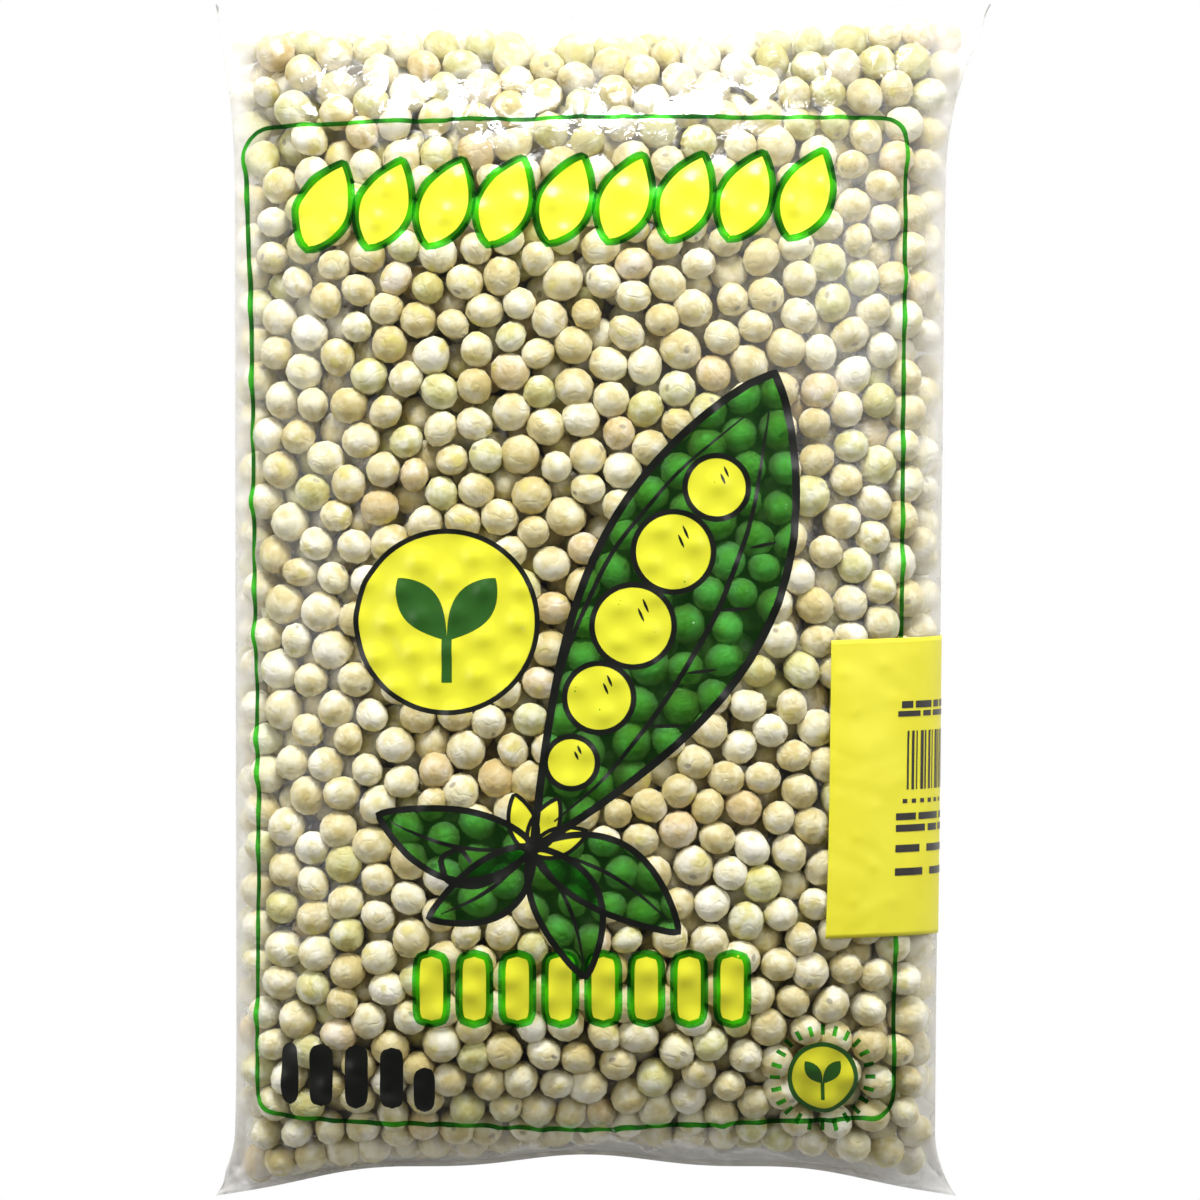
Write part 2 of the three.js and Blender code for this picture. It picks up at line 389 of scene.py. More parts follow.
pea_points, pea_radii = pour_peas()

# Each pea is the same ball of 54 faces, pressed and dented in its own way and turned at random.
# The kinds differ in colour: most are cream or ivory, fewer green, and a few tan. Near the top end
# more of them are green.
KINDS = {
    "cream": {"share": 0.50, "colour": (0.69, 0.62, 0.36)},
    "ivory": {"share": 0.31, "colour": (0.78, 0.73, 0.49)},
    "green": {"share": 0.13, "colour": (0.62, 0.60, 0.28)},
    "tan": {"share": 0.06, "colour": (0.67, 0.55, 0.31)},
}
GREENER_FROM = 95 * MM
GREENER_SHARE = 0.25
NARROWEST = 0.76
DENTS = 3
DENTED_SHARE = 0.65
DENT_DEPTHS = 0.04, 0.14
DENT_EDGE = 0.55
TONE_SPREAD = 0.06
SEEDS = 500
SCARRED_FROM_SEED = 280
SHRUNK_COLOUR = (0.84, 0.77, 0.56)
BLOTCH_COLOUR = (0.62, 0.55, 0.14)
SCAR_COLOUR = (0.30, 0.26, 0.18)


def ball():
    """The points and faces of a round cube with three faces along each edge."""
    bpy.ops.mesh.primitive_cube_add(size=2)
    cube = bpy.context.object
    bpy.ops.object.mode_set(mode="EDIT")
    bpy.ops.mesh.subdivide(number_cuts=2)
    bpy.ops.object.mode_set(mode="OBJECT")
    points = np.array([vertex.co for vertex in cube.data.vertices])
    faces = np.array([face.vertices for face in cube.data.polygons])
    bpy.data.objects.remove(cube)
    points = np.tan(points * math.pi / 4 * 0.98)
    return points / np.linalg.norm(points, axis=1)[:, None], faces


def turns(count):
    """Random rotation matrices."""
    q = random.normal(size=(count, 4))
    w, x, y, z = (q / np.linalg.norm(q, axis=1)[:, None]).T
    rows = [
        [1 - 2 * (y * y + z * z), 2 * (x * y - z * w), 2 * (x * z + y * w)],
        [2 * (x * y + z * w), 1 - 2 * (x * x + z * z), 2 * (y * z - x * w)],
        [2 * (x * z - y * w), 2 * (y * z + x * w), 1 - 2 * (x * x + y * y)],
    ]
    return np.array(rows).transpose(2, 0, 1)


def add_mesh(name, points, faces, material):
    mesh = bpy.data.meshes.new(name)
    mesh.from_pydata(np.asarray(points).tolist(), [], np.asarray(faces).tolist())
    mesh.update()
    mesh.shade_smooth()
    mesh.materials.append(material)
    thing = bpy.data.objects.new(name, mesh)
    scene.collection.objects.link(thing)
    return thing


def add_values(thing, name, values):
    """One number or one vector for each point of the mesh."""
    values = np.asarray(values, dtype=np.float32)
    kind = "FLOAT" if values.ndim == 1 else "FLOAT_VECTOR"
    attribute = thing.data.attributes.new(name, kind, "POINT")
    attribute.data.foreach_set("value" if values.ndim == 1 else "vector", values.ravel())


def new_group(name, inputs, outputs):
    """A shader node group, what it is given, its results, and how to add a node and a link."""
    group = bpy.data.node_groups.new(name, "ShaderNodeTree")
    for way, sockets in (("INPUT", inputs), ("OUTPUT", outputs)):
        for socket, kind in sockets.items():
            group.interface.new_socket(socket, in_out=way, socket_type=f"NodeSocket{kind}")
    add = node_adder(group)
    given, result = add("NodeGroupInput").outputs, add("NodeGroupOutput").inputs
    return group, given, result, add, group.links.new


def pea_skin_group():
    """The colour and relief of dried pea skin, about the kind's own colour."""
    group, given, result, add, link = new_group(
        "pea_skin",
        {"Colour": "Color", "Place": "Vector", "Tone": "Float", "Seed": "Float"},
        {"Colour": "Color", "Height": "Float"},
    )

    def noise(scale, detail, distortion=0.0):
        values = {"Scale": scale, "Detail": detail, "Distortion": distortion}
        node = add("ShaderNodeTexNoise", values, noise_dimensions="4D")
        link(given["Place"], node.inputs["Vector"])
        link(given["Seed"], node.inputs["W"])
        return node.outputs["Fac"]

    def ranged(value, low, high, to_low=0.0, to_high=1.0):
        numbers = range_inputs(low, high, to_low, to_high)
        node = add("ShaderNodeMapRange", numbers, interpolation_type="SMOOTHSTEP")
        link(value, node.inputs["Value"])
        return node.outputs["Result"]

    def worked(operation, first, second):
        node = add("ShaderNodeMath", operation=operation)
        for socket, value in zip(node.inputs, (first, second)):
            if isinstance(value, (int, float)):
                socket.default_value = value
            else:
                link(value, socket)
        return node.outputs[0]

    def tinted(factor, below, above, blend="MIX"):
        node = add("ShaderNodeMix", {"B": (*above, 1)}, data_type="RGBA", blend_type=blend)
        link(factor, node.inputs["Factor"])
        link(below, node.inputs["A"])
        return node.outputs["Result"]

    # Mottled skin, from a deeper tan to nearly white.
    mottle = worked("ADD", noise(1.2, 2), given["Tone"])
    skin = tinted(ranged(mottle, 0.52, 0.31), given["Colour"], SHRUNK_COLOUR, "MULTIPLY")
    skin = tinted(ranged(mottle, 0.48, 0.70, 0, 0.4), skin, (1, 1, 1))
    # A yellow blotch on some, and on nearly half of them the small scar where the pea hung in its pod.
    skin = tinted(ranged(noise(0.9, 1), 0.6, 0.72, 0, 0.7), skin, BLOTCH_COLOUR)
    axes = add("ShaderNodeSeparateXYZ")
    link(given["Place"], axes.inputs[0])
    squares = [worked("MULTIPLY", axes.outputs[index], axes.outputs[index]) for index in (0, 1)]
    from_scar = worked("SQRT", worked("ADD", worked("MULTIPLY", squares[0], 2.4), squares[1]), 0)
    facing = worked("GREATER_THAN", axes.outputs[2], 0.5)
    facing = worked("MULTIPLY", facing, worked("GREATER_THAN", given["Seed"], SCARRED_FROM_SEED))
    scar = worked("MULTIPLY", ranged(from_scar, 0.27, 0.13), facing)
    link(tinted(worked("MULTIPLY", scar, 0.75), skin, SCAR_COLOUR), result["Colour"])
    # Shallow wrinkles where the skin shrank, and a rim round the scar.
    folds = worked("ABSOLUTE", worked("SUBTRACT", noise(1.05, 1, 0.5), 0.5), 0)
    relief = worked("ADD", noise(1.7, 1, 0.8), ranged(folds, 0, 0.07, 0, 0.2))
    link(worked("SUBTRACT", relief, worked("MULTIPLY", scar, 0.25)), result["Height"])
    return group


pea_skin = pea_skin_group()


def pea_material(name, colour):
    material, shader, add, link = new_material(name, {"Roughness": 0.55, "Specular IOR Level": 0.35})
    skin = add("ShaderNodeGroup", node_tree=pea_skin)
    skin.inputs["Colour"].default_value = (*colour, 1)
    for socket, output in (("Place", "Vector"), ("Tone", "Fac"), ("Seed", "Fac")):
        attribute = add("ShaderNodeAttribute", attribute_name=socket.lower())
        link(attribute.outputs[output], skin.inputs[socket])
    bump = add("ShaderNodeBump", {"Strength": 0.6, "Distance": 0.55 * MM})
    link(skin.outputs["Height"], bump.inputs["Height"])
    link(skin.outputs["Colour"], shader.inputs["Base Color"])
    link(bump.outputs["Normal"], shader.inputs["Normal"])
    return material


def add_peas():
    shape, faces = ball()
    count = len(pea_points)
    kinds = random.choice(len(KINDS), count, p=[kind["share"] for kind in KINDS.values()])
    greener = (pea_points[:, 1] > GREENER_FROM) & (random.random(count) < GREENER_SHARE)
    kinds[greener] = list(KINDS).index("green")
    stretch = random.uniform(NARROWEST, 1.0, (count, 1, 3))
    stretch /= stretch.max(axis=2, keepdims=True)
    dents = random.normal(size=(count, DENTS, 3))
    dents /= np.linalg.norm(dents, axis=2, keepdims=True)
    depths = random.uniform(*DENT_DEPTHS, (count, DENTS))
    depths *= random.random((count, DENTS)) < DENTED_SHARE
    facing = np.einsum("pk,ndk->npd", shape, dents)
    pressed = np.clip((facing - DENT_EDGE) / (1 - DENT_EDGE), 0, 1) ** 1.5
    dented = 1 - (pressed * depths[:, None, :]).sum(axis=2)
    local = shape[None] * stretch * dented[:, :, None]
    turned = np.einsum("nij,npj->npi", turns(count), local)
    points = turned * pea_radii[:, None, None] + pea_points[:, None]
    tones = random.normal(0, TONE_SPREAD, count)
    seeds = random.uniform(0, SEEDS, count)
    for index, (name, kind) in enumerate(KINDS.items()):
        chosen = kinds == index
        shifts = np.arange(chosen.sum())[:, None, None] * len(shape)
        piece = add_mesh(
            f"peas_{name}",
            points[chosen].reshape(-1, 3),
            (faces[None] + shifts).reshape(-1, 4),
            pea_material(f"pea_{name}", kind["colour"]),
        )
        add_values(piece, "place", np.tile(shape, (chosen.sum(), 1)))
        add_values(piece, "tone", np.repeat(tones[chosen], len(shape)))
        add_values(piece, "seed", np.repeat(seeds[chosen], len(shape)))
        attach(piece, "root")


add_peas()


# ---- The film ----
# Clear stretched film, tight over the domes of the peas beneath it and drawn in a little between
# them. It gathers into creases at both seals, and its flat ears stick out at the corners.
FILM_COLUMNS = 330
FILM_ROWS = 266
TURN_STEPS = 720
FILM_OVER_PEAS = 0.05 * MM
FILM_REACH = 1.25 * PEA
DEEPEST_SINK = 3 * MM
SEAL_TAPER = 3 * MM
TIGHTENING_STEPS = 140
FILM_PULL = 0.02 * MM
SIDE_SMOOTHING_STEPS = 300
BRIDGING_STEPS = 60

row_y = np.linspace(-HALF_LENGTH, HALF_LENGTH, FILM_ROWS + 1)
fine_turns = np.linspace(0, 1, 2 * TURN_STEPS + 1)


def arc_shares():
    """For each row, how far round the bag each of the fine turns has come, 0.5 at the left side."""
    points = smooth_point(fine_turns[None], row_y[:, None])
    steps = np.linalg.norm(np.diff(points, axis=1), axis=2)
    along = np.concatenate([np.zeros((len(row_y), 1)), np.cumsum(steps, axis=1)], axis=1)
    girths = along[:, -1]
    front = along[:, : TURN_STEPS + 1]
    back = along[:, TURN_STEPS:]
    back = back - back[:, :1]
    front = front / front[:, -1:] / 2
    back = 0.5 + back / back[:, -1:] / 2
    return np.concatenate([front[:, :-1], back], axis=1), girths


shares, girths = arc_shares()
column_shares = np.arange(FILM_COLUMNS) / FILM_COLUMNS
film_turns = np.array([np.interp(column_shares, row, fine_turns) for row in shares])
form = smooth_point(film_turns, row_y[:, None])


def grid_normals(points):
    """Which way the film faces at each of its points."""
    around = np.roll(points, -1, axis=1) - np.roll(points, 1, axis=1)
    along = np.gradient(points, axis=0)
    normals = np.cross(around, along)
    normals /= np.linalg.norm(normals, axis=2, keepdims=True) + 1e-12
    return -normals


form_normals = grid_normals(form)
if form_normals[FILM_ROWS // 2, FILM_COLUMNS // 4, 2] < 0:
    form_normals = -form_normals


def pea_heights():
    """How far the peas reach out from the smooth form under each point of the film."""
    tree = tree_of(pea_points)
    flat = form.reshape(-1, 3)
    near = [
        (row, other)
        for row, point in enumerate(flat)
        for _, other, _ in tree.find_range(point, FILM_REACH)
    ]
    row, pea = np.array(near).T
    offset = pea_points[pea] - flat[row]
    out = (offset * form_normals.reshape(-1, 3)[row]).sum(axis=1)
    aside = (offset**2).sum(axis=1) - out**2
    inside = aside < pea_radii[pea] ** 2
    reach = out[inside] + np.sqrt(pea_radii[pea][inside] ** 2 - aside[inside])
    heights = np.full(len(flat), -DEEPEST_SINK)
    np.maximum.at(heights, row[inside], reach)
    return heights.reshape(form.shape[:2])


def neighbour_mean(heights):
    """The mean of the four neighbours of each point."""
    padded = np.concatenate([heights[:1], heights, heights[-1:]])
    beside = np.roll(heights, 1, axis=1) + np.roll(heights, -1, axis=1)
    return (beside + padded[:-2] + padded[2:]) / 4


def tightened(obstacles, steps, pull):
    """The heights of a film that is stretched over what lies under it."""
    heights = obstacles
    for _ in range(steps):
        heights = np.maximum(obstacles, neighbour_mean(heights) - pull)
    return heights


from_end = HALF_LENGTH - np.abs(row_y)
free = np.clip((from_end - SEAL_DEPTH) / SEAL_TAPER, 0, 1)[:, None]
contents = pea_heights() + FILM_OVER_PEAS
film_heights = tightened(contents, TIGHTENING_STEPS, FILM_PULL)
# Where the film stands nearly upright, at the sides, it is smoother.
side_share = np.clip(1.6 - 2.4 * np.abs(form_normals[:, :, 2]), 0, 1)
film_heights += (tightened(film_heights, SIDE_SMOOTHING_STEPS, 0) - film_heights) * side_share
film_heights *= free

# The film is slack in patches near the top end, and puckers into creases that run from both seals.
# Each patch: its middle across and along the bag, half its width and length, and its slant.
# Each crease: how far across and along the bag it starts and ends, its width and its height.
SLACK = [
    (-53, 113, 9, 5, 0.5), (-45, 105, 5, 10, 0.3), (-30, 108, 5, 11, 0.2), (-24, 99, 4, 8, 0.1),
    (-4, 104, 7, 12, 0.1), (7, 101, 10, 5, -0.4), (20, 108, 9, 8, 0.5), (32, 112, 7, 5, -0.3),
    (-64, 110, 4, 9, 0.4), (52, 114, 5, 5, 0.2),
]
CREASES = [
    (60, 112, 77, 127, 0.9, 0.8), (62, 118, 72, 124, 0.8, 0.5), (-70, 112, -76, 124, 0.9, 0.5),
    (-60, 121, -56, 108, 0.7, 0.5), (-36, 124, -40, 104, 0.8, 0.6), (-22, 121, -30, 101, 0.8, 0.6),
    (-8, 122, -3, 98, 0.8, 0.7), (6, 121, 3, 96, 0.7, 0.5), (16, 120, 9, 101, 0.8, 0.5),
    (24, 122, 31, 103, 0.8, 0.6), (40, 122, 37, 108, 0.7, 0.5), (51, 123, 47, 110, 0.7, 0.5),
]
SLACK_LIFT = 0.25 * MM
SMALL_CREASES = 70
CREASES += [
    (across, -122 - random.uniform(0, 3), across + random.uniform(-4, 4),
     -112 + random.uniform(-4, 2), 1.0, random.uniform(0.6, 1.2))
    for across in np.arange(-70, 70, 6.5) + random.uniform(-2, 2, 22)
]
for _ in range(SMALL_CREASES):
    across, along, angle = random.uniform([-76, -112, -0.6], [70, 108, 0.6])
    long = random.uniform(4, 11)
    stop = across + long * math.sin(angle), along + long * math.cos(angle)
    CREASES.append((across, along, *stop, 0.5, random.uniform(0.15, 0.35)))
front = np.where(np.arange(FILM_COLUMNS) <= FILM_COLUMNS // 2, 1.0, 0.0)
place_x = form[:, :, 0] / MM
place_y = np.broadcast_to(row_y[:, None] / MM, place_x.shape)
wander = 0.9 * np.sin(place_y / 2.1 + place_x / 5) + 0.6 * np.sin(place_y / 0.9 - place_x / 2.3)
slack_share = np.zeros(place_x.shape)
for x, y, wide, long, slope in SLACK:
    aside = (place_x - x - slope * (place_y - y) + 1.2 * wander) / wide
    ahead = (place_y - y + 1.5 * np.sin(place_x / 1.7)) / long
    inside = 1 - np.sqrt(aside**2 + ahead**2)
    slack_share = np.maximum(slack_share, np.clip(inside * 4, 0, 1) * front)
bridged = tightened(film_heights, BRIDGING_STEPS, 0)
film_heights += (bridged - film_heights + SLACK_LIFT) * slack_share * free
# Each crease also gets a painted highlight in the white layer of the film.
crease_painted_highlight = np.zeros(place_x.shape)
for start_x, start_y, stop_x, stop_y, wide, high in CREASES:
    run = np.array([stop_x - start_x, stop_y - start_y])
    part = ((place_x - start_x) * run[0] + (place_y - start_y) * run[1]) / (run**2).sum()
    aside = (place_x - start_x) * run[1] - (place_y - start_y) * run[0]
    aside = aside / np.linalg.norm(run) + 0.5 * wander
    rise = np.exp(-np.abs(aside) / wide) * np.clip(np.sin(math.pi * np.clip(part, 0, 1)), 0, 1) ** 0.6
    film_heights += high * MM * rise * front
    crease_painted_highlight = np.maximum(crease_painted_highlight, high * rise**2 * front)


def raised(heights):
    """Points at these heights over the smooth form, but never in the table."""
    points = form + form_normals * heights[:, :, None]
    points[:, :, 2] = np.maximum(points[:, :, 2], TABLE_GAP)
    return points


# Between the bottom seal and the last peas the film hangs in scallops with a raised rim. The scallops
# are painted paler, and the rim carries a painted highlight.
DRAPE_MIDDLE, DRAPE_REACH, DRAPE_WAVE, DRAPE_DEPTH = 9, 38, 17, 4.2
DRAPE_RIM = 0.4 * MM
waves = np.sin(math.pi * (place_x - DRAPE_MIDDLE) / DRAPE_WAVE + 0.3 * wander)
outline = DRAPE_DEPTH + DRAPE_DEPTH * np.abs(waves)
outline *= np.exp(-(((place_x - DRAPE_MIDDLE) / DRAPE_REACH) ** 4))
past_drape = (row_y + HALF_LENGTH)[:, None] / MM - outline
drape_share = np.clip(-past_drape / 1.2 + 0.5, 0, 1) * front
drape_rim = np.exp(-((past_drape / 0.65) ** 2)) * np.clip(outline / 4 - 0.6, 0, 1) * front
film_heights += DRAPE_RIM * drape_rim
film_points = raised(film_heights)


def tube_faces():
    """The faces of the film, which join its front and back along both ends as well."""
    ring = np.arange(FILM_COLUMNS)
    after = (ring + 1) % FILM_COLUMNS
    faces = [
        np.stack([row + ring, row + after, row + FILM_COLUMNS + after, row + FILM_COLUMNS + ring], 1)
        for row in np.arange(FILM_ROWS) * FILM_COLUMNS
    ]
    front = np.arange(FILM_COLUMNS // 2)
    back = (FILM_COLUMNS - front) % FILM_COLUMNS
    last = FILM_ROWS * FILM_COLUMNS
    inner = (back - 1) % FILM_COLUMNS
    cap = np.stack([front, front + 1, inner, back], 1)
    return np.concatenate([*faces, cap[1:-1, ::-1], last + cap[1:-1]])


def crumple_group():
    """The slight unevenness of a thin sheet."""
    group, given, result, add, link = new_group("crumple", {"Scale": "Float"}, {"Height": "Float"})
    place = add("ShaderNodeTexCoord")
    noise = add("ShaderNodeTexNoise", {"Detail": 1, "Distortion": 1.5})
    link(place.outputs["Object"], noise.inputs["Vector"])
    link(given["Scale"], noise.inputs["Scale"])
    link(noise.outputs["Fac"], result["Height"])
    return group


crumple = crumple_group()


def crumpled(shader, add, link, scale, strength, distance):
    """Gives a shader the relief of a crumpled sheet."""
    sheet = add("ShaderNodeGroup", {"Scale": scale}, node_tree=crumple)
    bump = add("ShaderNodeBump", {"Strength": strength, "Distance": distance})
    link(sheet.outputs["Height"], bump.inputs["Height"])
    link(bump.outputs["Normal"], shader.inputs["Normal"])


FILM_CRUMPLE = {"scale": 420, "strength": 0.2, "distance": 0.6 * MM}


def film_material():
    """Clear film, a mirror where it is seen edge-on or lies slack, and whitened by a white layer that
    is partly its own milkiness and partly painted reflection and highlight.
    """
    values = {"Base Color": (0.94, 0.94, 0.95, 1), "Metallic": 1}
    material, shader, add, link = new_material("clear_film", values)
    slack = add("ShaderNodeAttribute", attribute_name="slack")
    roughness = add("ShaderNodeMapRange", range_inputs(0, 1, 0.22, 0.1))
    link(slack.outputs["Fac"], roughness.inputs["Value"])
    link(roughness.outputs[0], shader.inputs["Roughness"])
    crumpled(shader, add, link, **FILM_CRUMPLE)
    edge_on = add("ShaderNodeLayerWeight", {"Blend": 0.5})
    steepened = add("ShaderNodeMath", {1: 3.5}, operation="POWER")
    link(edge_on.outputs["Facing"], steepened.inputs[0])
    mirror = add("ShaderNodeMapRange", range_inputs(0, 1, 0.055, 0.75))
    link(steepened.outputs[0], mirror.inputs["Value"])
    with_slack = add("ShaderNodeMath", {1: 0.12}, operation="MULTIPLY_ADD")
    link(slack.outputs["Fac"], with_slack.inputs[0])
    link(mirror.outputs[0], with_slack.inputs[2])
    gloss = mixed(add, link, with_slack.outputs[0], add("ShaderNodeBsdfTransparent"), shader)
    # The white layer: the film's own milkiness with painted reflections and highlights.
    haze_and_painted_light = add("ShaderNodeAttribute", attribute_name="haze_and_painted_light")
    values = {"Base Color": (0.95, 0.93, 0.90, 1), "Roughness": 0.35}
    milk_and_painted_light = add("ShaderNodeBsdfPrincipled", values)
    crumpled(milk_and_painted_light, add, link, **FILM_CRUMPLE)
    hazy = mixed(add, link, haze_and_painted_light.outputs["Fac"], gloss, milk_and_painted_light)
    link(hazy.outputs[0], surface(material))
    return material


film = add_mesh("film", film_points.reshape(-1, 3), tube_faces(), film_material())
# A white layer lies over the film, partly its own milkiness and partly painted light: painted
# reflection of the bright room on its steep sides and, with its own milkiness, over hollows near the
# ends; painted highlights along its creases, on its slack patches and along the rim of the bottom
# scallops, which are painted paler; and a broad painted reflection of the light on the upper right of
# the front.
HAZE_AND_PAINTED_LIGHT = {"crease": 0.4, "slack": 0.1, "drape": 0.26, "drape_rim": 0.8, "painted_sheen": 0.12, "most": 0.85}
END_HAZE_AND_REFLECTION_REACH_TOP = 10 * MM
END_HAZE_AND_REFLECTION_REACH_BOTTOM = 5 * MM
hollow = np.clip((film_heights - contents - 0.8 * MM) / (2 * MM), 0, 1)
end_reach = np.where(row_y > 0, END_HAZE_AND_REFLECTION_REACH_TOP, END_HAZE_AND_REFLECTION_REACH_BOTTOM)
near_end = np.clip(1 - (from_end - 2 * MM) / end_reach, 0, 1)[:, None]
# Near the ends, over hollows, the white layer is partly the film's own milkiness and partly a painted
# reflection of the bright room, in lighter and darker painted stripes.
painted_pleat_shading = 0.5 + 0.5 * np.sin(place_x / 1.3 + 0.5 * place_y + 2 * wander)
end_haze_and_painted_reflection = 0.02 + hollow * (0.1 + 0.25 * painted_pleat_shading)
from_middle = np.abs(place_x - middle_x(row_y)[:, None] / MM)
# A painted reflection of the bright room on the steep sides, stronger on the left.
side_painted_reflection = np.clip((from_middle - 68.5) / 8.5, 0, 1) ** 1.3
side_painted_reflection *= (0.5 + 0.1 * wander) * np.where(place_x > 0, 0.85, 1.2)
# A broad painted reflection of the light on the upper right of the front.
painted_sheen = front * np.exp(-(((place_x - 52) / 30) ** 2) - ((place_y - 68) / 40) ** 2)
# The slack patches get a painted glare in the white layer as well.
haze_and_painted_light = side_painted_reflection + near_end * end_haze_and_painted_reflection + HAZE_AND_PAINTED_LIGHT["crease"] * crease_painted_highlight + HAZE_AND_PAINTED_LIGHT["slack"] * slack_share
haze_and_painted_light += HAZE_AND_PAINTED_LIGHT["drape"] * drape_share + HAZE_AND_PAINTED_LIGHT["drape_rim"] * drape_rim + HAZE_AND_PAINTED_LIGHT["painted_sheen"] * painted_sheen
add_values(film, "haze_and_painted_light", np.clip(haze_and_painted_light, 0, HAZE_AND_PAINTED_LIGHT["most"]).ravel())
add_values(film, "slack", slack_share.ravel())
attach(film, "root")
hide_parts("bag")
film.visible_shadow = False
film.visible_diffuse = False


# ---- The print on the film ----
# Printed straight on the film: a green border line, two rows of plain shapes, an open pea pod with
# leaves, two badges and black blocks. The tint and the green are clear, so that the peas and the gaps
# between them show through; over the gaps the clear inks are darker, a painted shade. The other inks
# cover what is under them.
INKS = {
    "tint": {"slot": "green_ink", "lift": 0.06 * MM, "cover": 0.05, "colour": (0.10, 0.44, 0.08)},
    "yellow": {"slot": "yellow_ink", "lift": 0.11 * MM, "cover": 0.93, "colour": (0.82, 0.80, 0.04)},
    "green": {"slot": "green_ink", "lift": 0.16 * MM, "cover": 0.06, "colour": (0.03, 0.35, 0.03)},
    "deep_green": {"slot": "green_ink", "lift": 0.19 * MM, "cover": 0.8, "colour": (0.03, 0.12, 0.02)},
    "black": {"slot": "black_ink", "lift": 0.22 * MM, "cover": 0.95, "colour": (0.009, 0.01, 0.008)},
}
# What clear ink lets through over a pea, and the darker colour it takes over a gap as painted shade.
INKS["tint"] |= {"over_pea": (0.10, 0.45, 0.09), "gap_painted_shade": (0.06, 0.11, 0.075)}
INKS["green"] |= {"over_pea": (0.09, 0.66, 0.06), "gap_painted_shade": (0.02, 0.15, 0.03)}
INK_STEP = 0.9 * MM
LINE = 0.95 * MM
# The border line, in millimetres: places along each side, and how far out the line is there.
BORDER_WIDTH = 140
BORDER_HEIGHT = 215
BORDER_BOTTOM = -112
BORDER_REACH = 215.5
BORDER_CORNER = 4.8
BORDER = {
    "left": ([-107, -41, 0, 55, 98], [-74.7, -74.4, -75.3, -76, -77.4]),
    "right": ([-107, -73, -4, 64, 98], [62.5, 62.9, 64.2, 64.9, 65.3]),
    "top": ([-74, -39, -6, 60], [101.8, 102.8, 103.4, 103.6]),
    "bottom": ([-73, -56, -6, 56], [-110.2, -112, -113.5, -111.4]),
}
# How far the film stands off the peas there, which sets how much painted gap shade the clear inks
# take.
gap_painted_shade = np.clip((film_heights - contents - 0.2 * MM) / (1.1 * MM), 0, 1)
gap_painted_shade = neighbour_mean(gap_painted_shade)[:, :, None]


def read_grid(grid, row, column):
    """Values of a grid between its rows and columns. Its last column is followed by its first."""
    low, left = np.clip(np.floor(row).astype(int), 0, len(grid) - 2), np.floor(column).astype(int)
    part_x, part_y = column - left, row - low
    if grid.ndim == 3:
        part_x, part_y = part_x[..., None], part_y[..., None]
    left, right = left % grid.shape[1], (left + 1) % grid.shape[1]
    lower = grid[low, left] * (1 - part_x) + grid[low, right] * part_x
    upper = grid[low + 1, left] * (1 - part_x) + grid[low + 1, right] * part_x
    return lower * (1 - part_y) + upper * part_y


def read_film(grid, share, y):
    """Values of a film grid, by how far round the bag and how far along it they are."""
    row = np.clip((y / LENGTH + 0.5) * FILM_ROWS, 0, FILM_ROWS - 1e-6)
    return read_grid(grid, row, np.mod(share, 1) * FILM_COLUMNS)


def film_at(share, y, points, lift):
    return read_film(points, share, y) + lift * read_film(form_normals, share, y)


def seen_from_above(x, y):
    """How far round and along the bag the points of its front are that lie at x and y."""
    along = y
    for _ in range(4):
        from_middle = x - middle_x(along)
        across = np.clip(from_middle / half_width(along, from_middle > 0), -0.9999, 0.9999)
        along = y + drawn_in(along, from_middle, across) * end_share(along)
    turn = np.arccos(signed_power(across, TOP_ROUNDNESS / 2)) / (2 * math.pi)
    return read_grid(shares, (along / LENGTH + 0.5) * FILM_ROWS, turn * 2 * TURN_STEPS), along


def steps_for(lengths):
    return max(1, math.ceil(np.max(lengths) / INK_STEP))


def run_lengths(line):
    """How far along a line each of its points comes."""
    return np.concatenate([[0], np.cumsum(np.linalg.norm(np.diff(line, axis=0), axis=1))])


def resampled(line, count):
    line = np.asarray(line, float)
    along = run_lengths(line)
    places = np.linspace(0, along[-1], count + 1)
    return np.stack([np.interp(places, along, line[:, axis]) for axis in range(2)], axis=-1)


def between(edge_a, edge_b):
    """A patch of ink between two lines."""
    count = steps_for(sum(run_lengths(edge)[-1] for edge in (edge_a, edge_b)) / 2)
    edge_a, edge_b = resampled(edge_a, count), resampled(edge_b, count)
    across = steps_for(np.linalg.norm(edge_b - edge_a, axis=1))
    part = np.linspace(0, 1, across + 1)[None, :, None]
    return edge_a[:, None] * (1 - part) + edge_b[:, None] * part


def line_along(path, width, closed=False, taper=0):
    """A line of ink along a path, narrower at its ends if it tapers."""
    path = np.asarray(path, float)
    if closed:
        path = np.concatenate([path, path[:1]])
    path = resampled(path, steps_for(run_lengths(path)[-1]))
    forward = np.gradient(path, axis=0)
    if closed:
        forward[0] = forward[-1] = path[1] - path[-2]
    forward /= np.linalg.norm(forward, axis=1)[:, None] + 1e-12
    aside = np.stack([-forward[:, 1], forward[:, 0]], axis=1)
    swell = 1 - taper * np.abs(np.linspace(-1, 1, len(path))) ** 2
    part = np.linspace(-0.5, 0.5, 3)[None, :, None]
    return path[:, None] + aside[:, None] * part * width * swell[:, None, None]


def edge_of(patch):
    """The closed line round a patch."""
    return np.concatenate([patch[:, 0], patch[-1, 1:], patch[-2::-1, -1], patch[0, -2:0:-1]])


def disc(x, y, radius):
    count = steps_for(2 * radius)
    u, v = np.meshgrid(*[np.linspace(-1, 1, count + 1)] * 2, indexing="ij")
    round_x, round_y = u * np.sqrt(1 - v**2 / 2), v * np.sqrt(1 - u**2 / 2)
    return np.stack([x + radius * round_x, y + radius * round_y], axis=-1)


